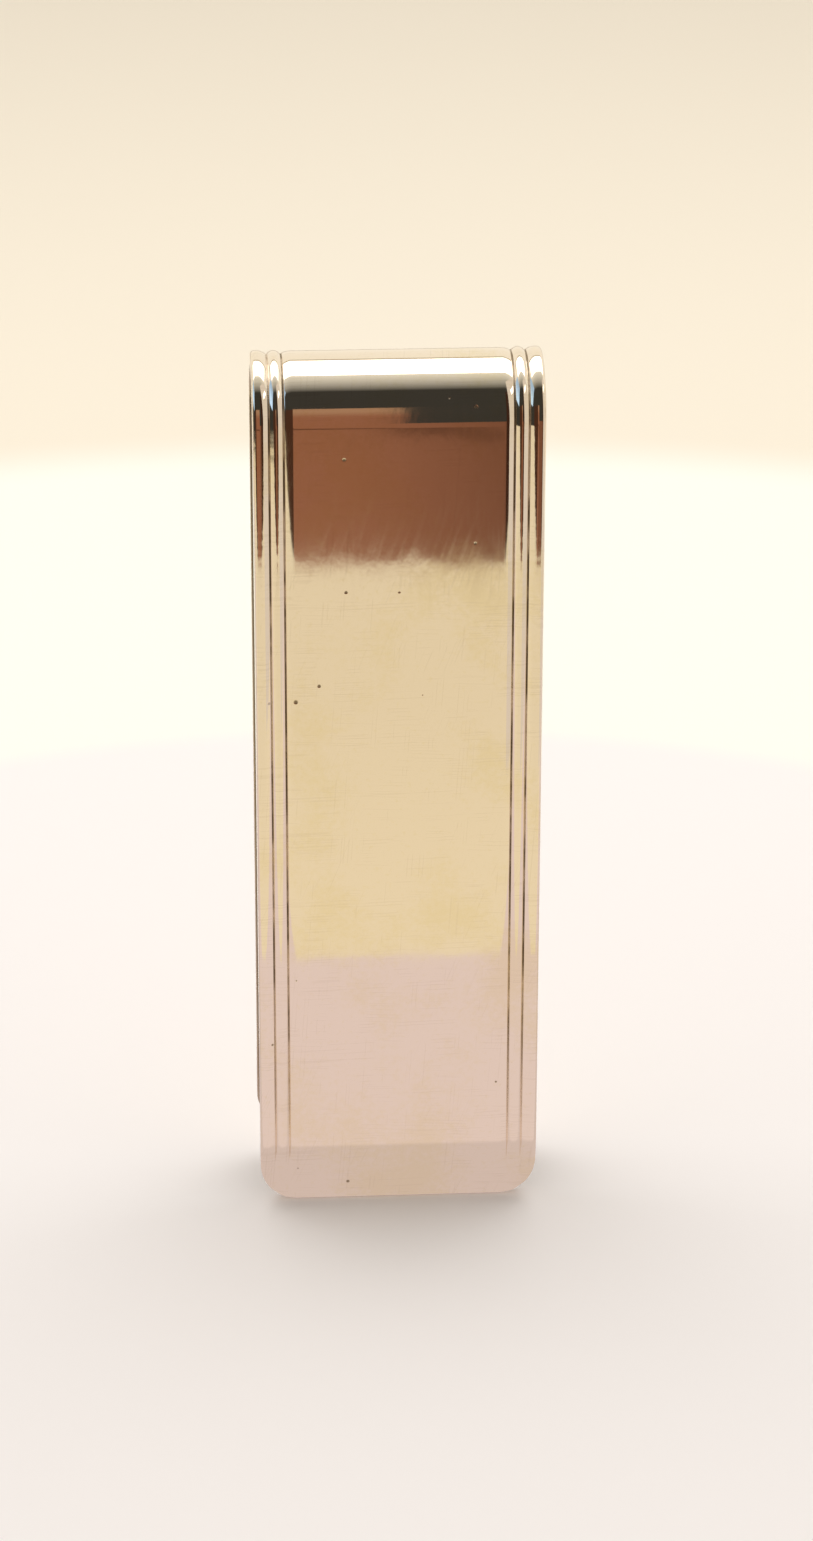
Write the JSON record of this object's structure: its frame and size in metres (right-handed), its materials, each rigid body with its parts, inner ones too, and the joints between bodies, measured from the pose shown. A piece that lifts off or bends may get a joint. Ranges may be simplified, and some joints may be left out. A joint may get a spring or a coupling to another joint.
{
  "type": "money clip",
  "caption": "Spring money clip folded from one reeded silver strip: a polished front leaf, a round bend and a shorter back leaf that flexes open over folded notes.",
  "frame": {"origin": "on the centre line of the bend, midway across the strip, where folded notes come up to rest", "axes": "+Z along the leaves from the tips up to the bend, -Y out of the front panel, +X across the strip to the right as the front is looked at"},
  "size_m": [0.018, 0.0083, 0.057],
  "materials": {
    "polished_silver": "mirror polished silver, finely scratched, with a faint straw-coloured tarnish"
  },
  "bodies": {
    "front_leaf": {"front_leaf": "polished_silver"},
    "spring_bend": {"spring_bend": "polished_silver"},
    "back_leaf": {"back_leaf": "polished_silver"}
  },
  "joints": [
    {"name": "bend_flex", "type": "hinge", "parent": "front_leaf", "child": "spring_bend", "pos_m": [0, -0.0033, -0.00015], "axis": [1, 0, 0], "range_deg": [-1.5, 6], "stiffness_Nm_per_rad": 3.8},
    {"name": "back_leaf_flex", "type": "hinge", "parent": "spring_bend", "child": "back_leaf", "pos_m": [0, 0.0033, -0.00015], "axis": [1, 0, 0], "range_deg": [-1.5, 6], "stiffness_Nm_per_rad": 3.8}
  ],
  "couplings": [
    {"joint": "back_leaf_flex", "follows": "bend_flex", "ratio": 1}
  ]
}
